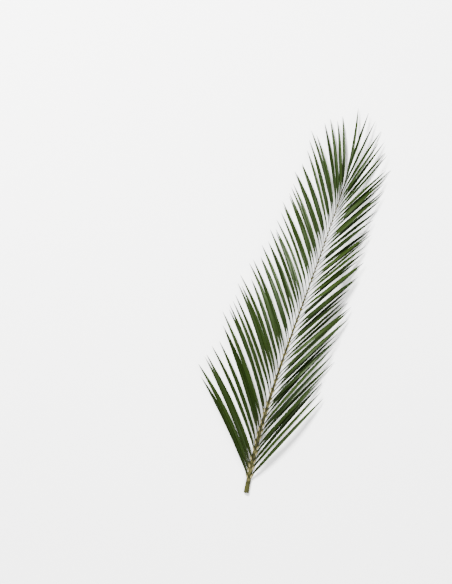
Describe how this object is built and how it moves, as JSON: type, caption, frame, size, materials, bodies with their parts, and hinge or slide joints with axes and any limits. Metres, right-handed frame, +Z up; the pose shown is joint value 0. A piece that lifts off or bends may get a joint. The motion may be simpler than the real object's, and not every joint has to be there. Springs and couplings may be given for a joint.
{
  "type": "palm frond",
  "caption": "Cut feather-palm frond lying flat, with narrow folded pointed leaflets in two ranks along one slender tapering rachis.",
  "frame": {"origin": "on the small level spot under the cut end of the rachis, 7 mm from the cut", "axes": "+Z up, with the frond's upper face upwards; +Y from the cut end towards the tip; +X to the right of it, seen from above with the tip away from the viewer"},
  "size_m": [0.2333, 0.7117, 0.0448],
  "materials": {
    "leaf": "satin"
  },
  "bodies": {
    "root": {"frond": "leaf"}
  },
  "joints": []
}
